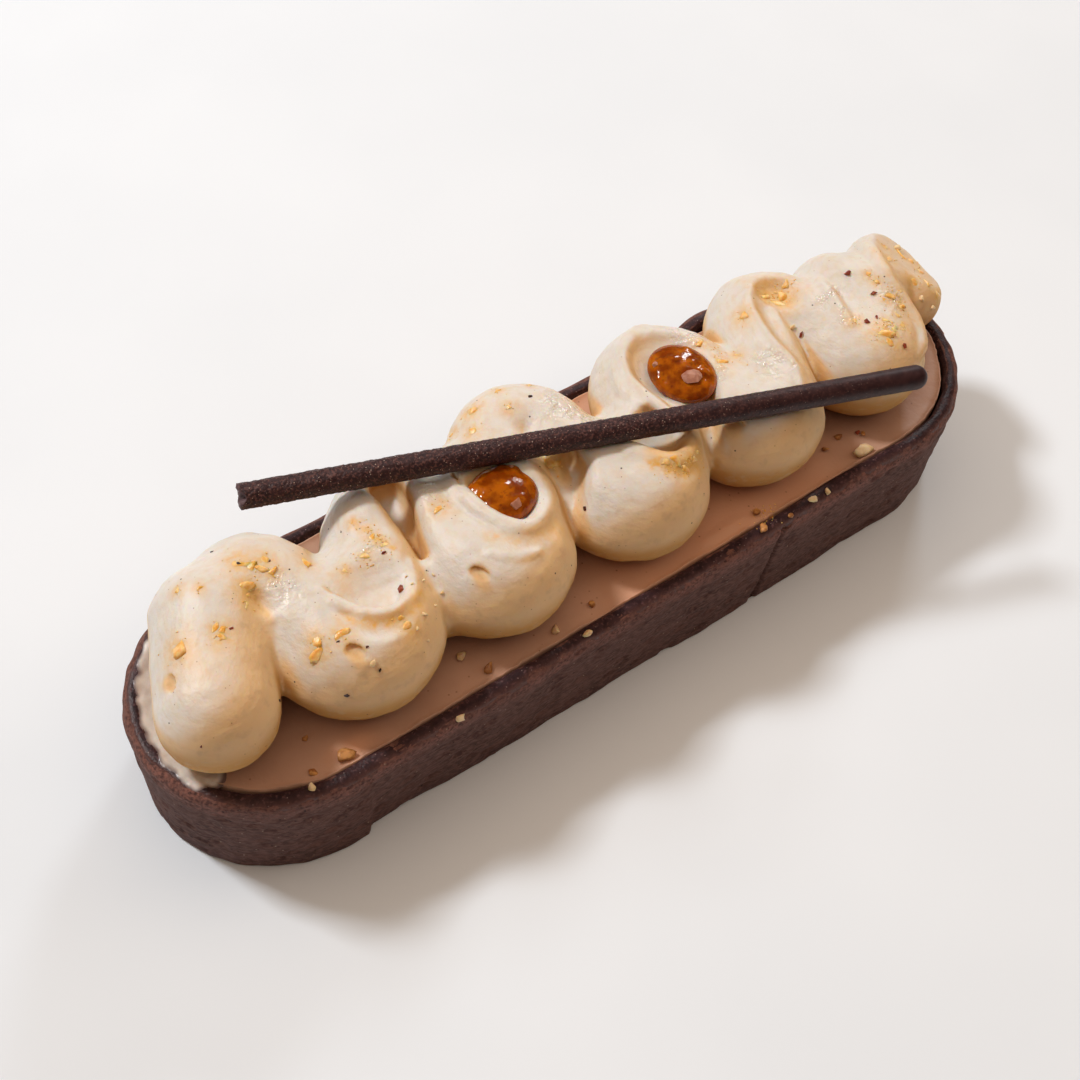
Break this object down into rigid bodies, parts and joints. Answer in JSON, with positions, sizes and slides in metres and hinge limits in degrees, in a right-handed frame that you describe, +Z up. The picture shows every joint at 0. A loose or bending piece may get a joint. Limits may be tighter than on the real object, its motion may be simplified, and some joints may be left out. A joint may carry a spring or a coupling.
{
  "type": "hazelnut chocolate tart",
  "caption": "Oblong chocolate tart: pastry shell with set chocolate filling, a piped rope of hazelnut cream, caramel drops and a chocolate stick across it.",
  "frame": {"origin": "centre of the flat underside of the pastry shell", "axes": "+Z up out of the filling, X along the length of the tart, +Y toward the side where the cream overhangs the rim"},
  "size_m": [0.127, 0.0357, 0.0326],
  "materials": {
    "pastry": "matte fine-grained dark cocoa pastry",
    "filling": "smooth satin milk-chocolate cream, set",
    "cream": "smooth satin ivory cream with fine nut specks",
    "caramel": "glossy translucent amber caramel with nut pieces",
    "chocolate": "dark chocolate, sandy bloom on one half"
  },
  "bodies": {
    "root": {"pastry_shell": "pastry", "chocolate_filling": "filling", "piped_cream": "cream", "caramel_front": "caramel", "caramel_back": "caramel", "chocolate_stick": "chocolate"}
  },
  "joints": []
}
